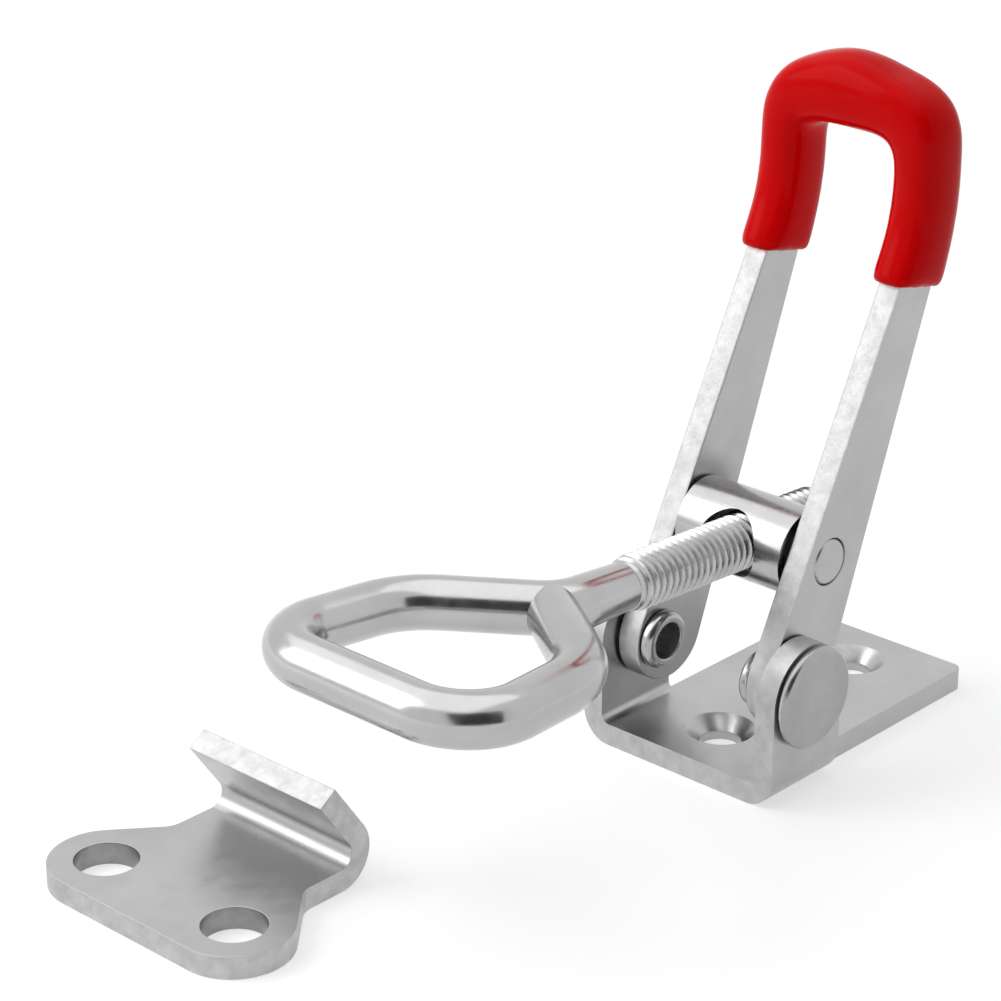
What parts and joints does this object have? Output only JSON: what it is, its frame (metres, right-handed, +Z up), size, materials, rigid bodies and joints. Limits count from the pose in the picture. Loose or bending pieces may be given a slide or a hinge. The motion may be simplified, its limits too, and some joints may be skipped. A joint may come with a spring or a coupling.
{
  "type": "over centre toggle latch",
  "caption": "Screw-on over centre toggle latch with a gripped lever, a screwed wire bail on a swinging barrel nut, and a hooked catch plate.",
  "frame": {"origin": "midway between the base's two screw holes, on its underside", "axes": "+X from the base towards the catch plate, +Z up from the mounting face"},
  "size_m": [0.0992, 0.0491, 0.0721],
  "materials": {
    "plated_sheet": "satin zinc plate with bright sheared edges",
    "turned_steel": "turned steel, zinc plated",
    "bright_wire": "bright plated wire",
    "dipped_grip": "soft glossy dipped plastic"
  },
  "bodies": {
    "base": {"base_bracket": "plated_sheet", "pivot_rivet_left": "turned_steel", "pivot_rivet_right": "turned_steel", "catch_plate": "plated_sheet"},
    "lever": {"lever": "plated_sheet", "grip": "dipped_grip"},
    "pins": {"trunnion_pin_left": "turned_steel", "trunnion_pin_right": "turned_steel"},
    "nut": {"barrel_nut": "turned_steel"},
    "bail": {"bail": "bright_wire"}
  },
  "joints": [
    {"name": "lever_swing", "type": "hinge", "parent": "base", "child": "lever", "pos_m": [0.0134, 0, 0.0116], "axis": [0, 1, 0], "range_deg": [-60, 72]},
    {"name": "pin_turn", "type": "hinge", "parent": "lever", "child": "pins", "pos_m": [0.0068, 0, 0.02361], "axis": [0, 1, 0], "range_deg": [-72, 60]},
    {"name": "bail_swing", "type": "hinge", "parent": "pins", "child": "nut", "pos_m": [0.0068, 0, 0.02361], "axis": [0, -1, 0], "range_deg": [0, 21.5]},
    {"name": "bail_adjust", "type": "slide", "parent": "nut", "child": "bail", "axis": [0.9981, 0, 0.061], "range_m": [-0.004, 0.005]}
  ],
  "couplings": [
    {"joint": "pin_turn", "follows": "lever_swing", "ratio": -1}
  ]
}
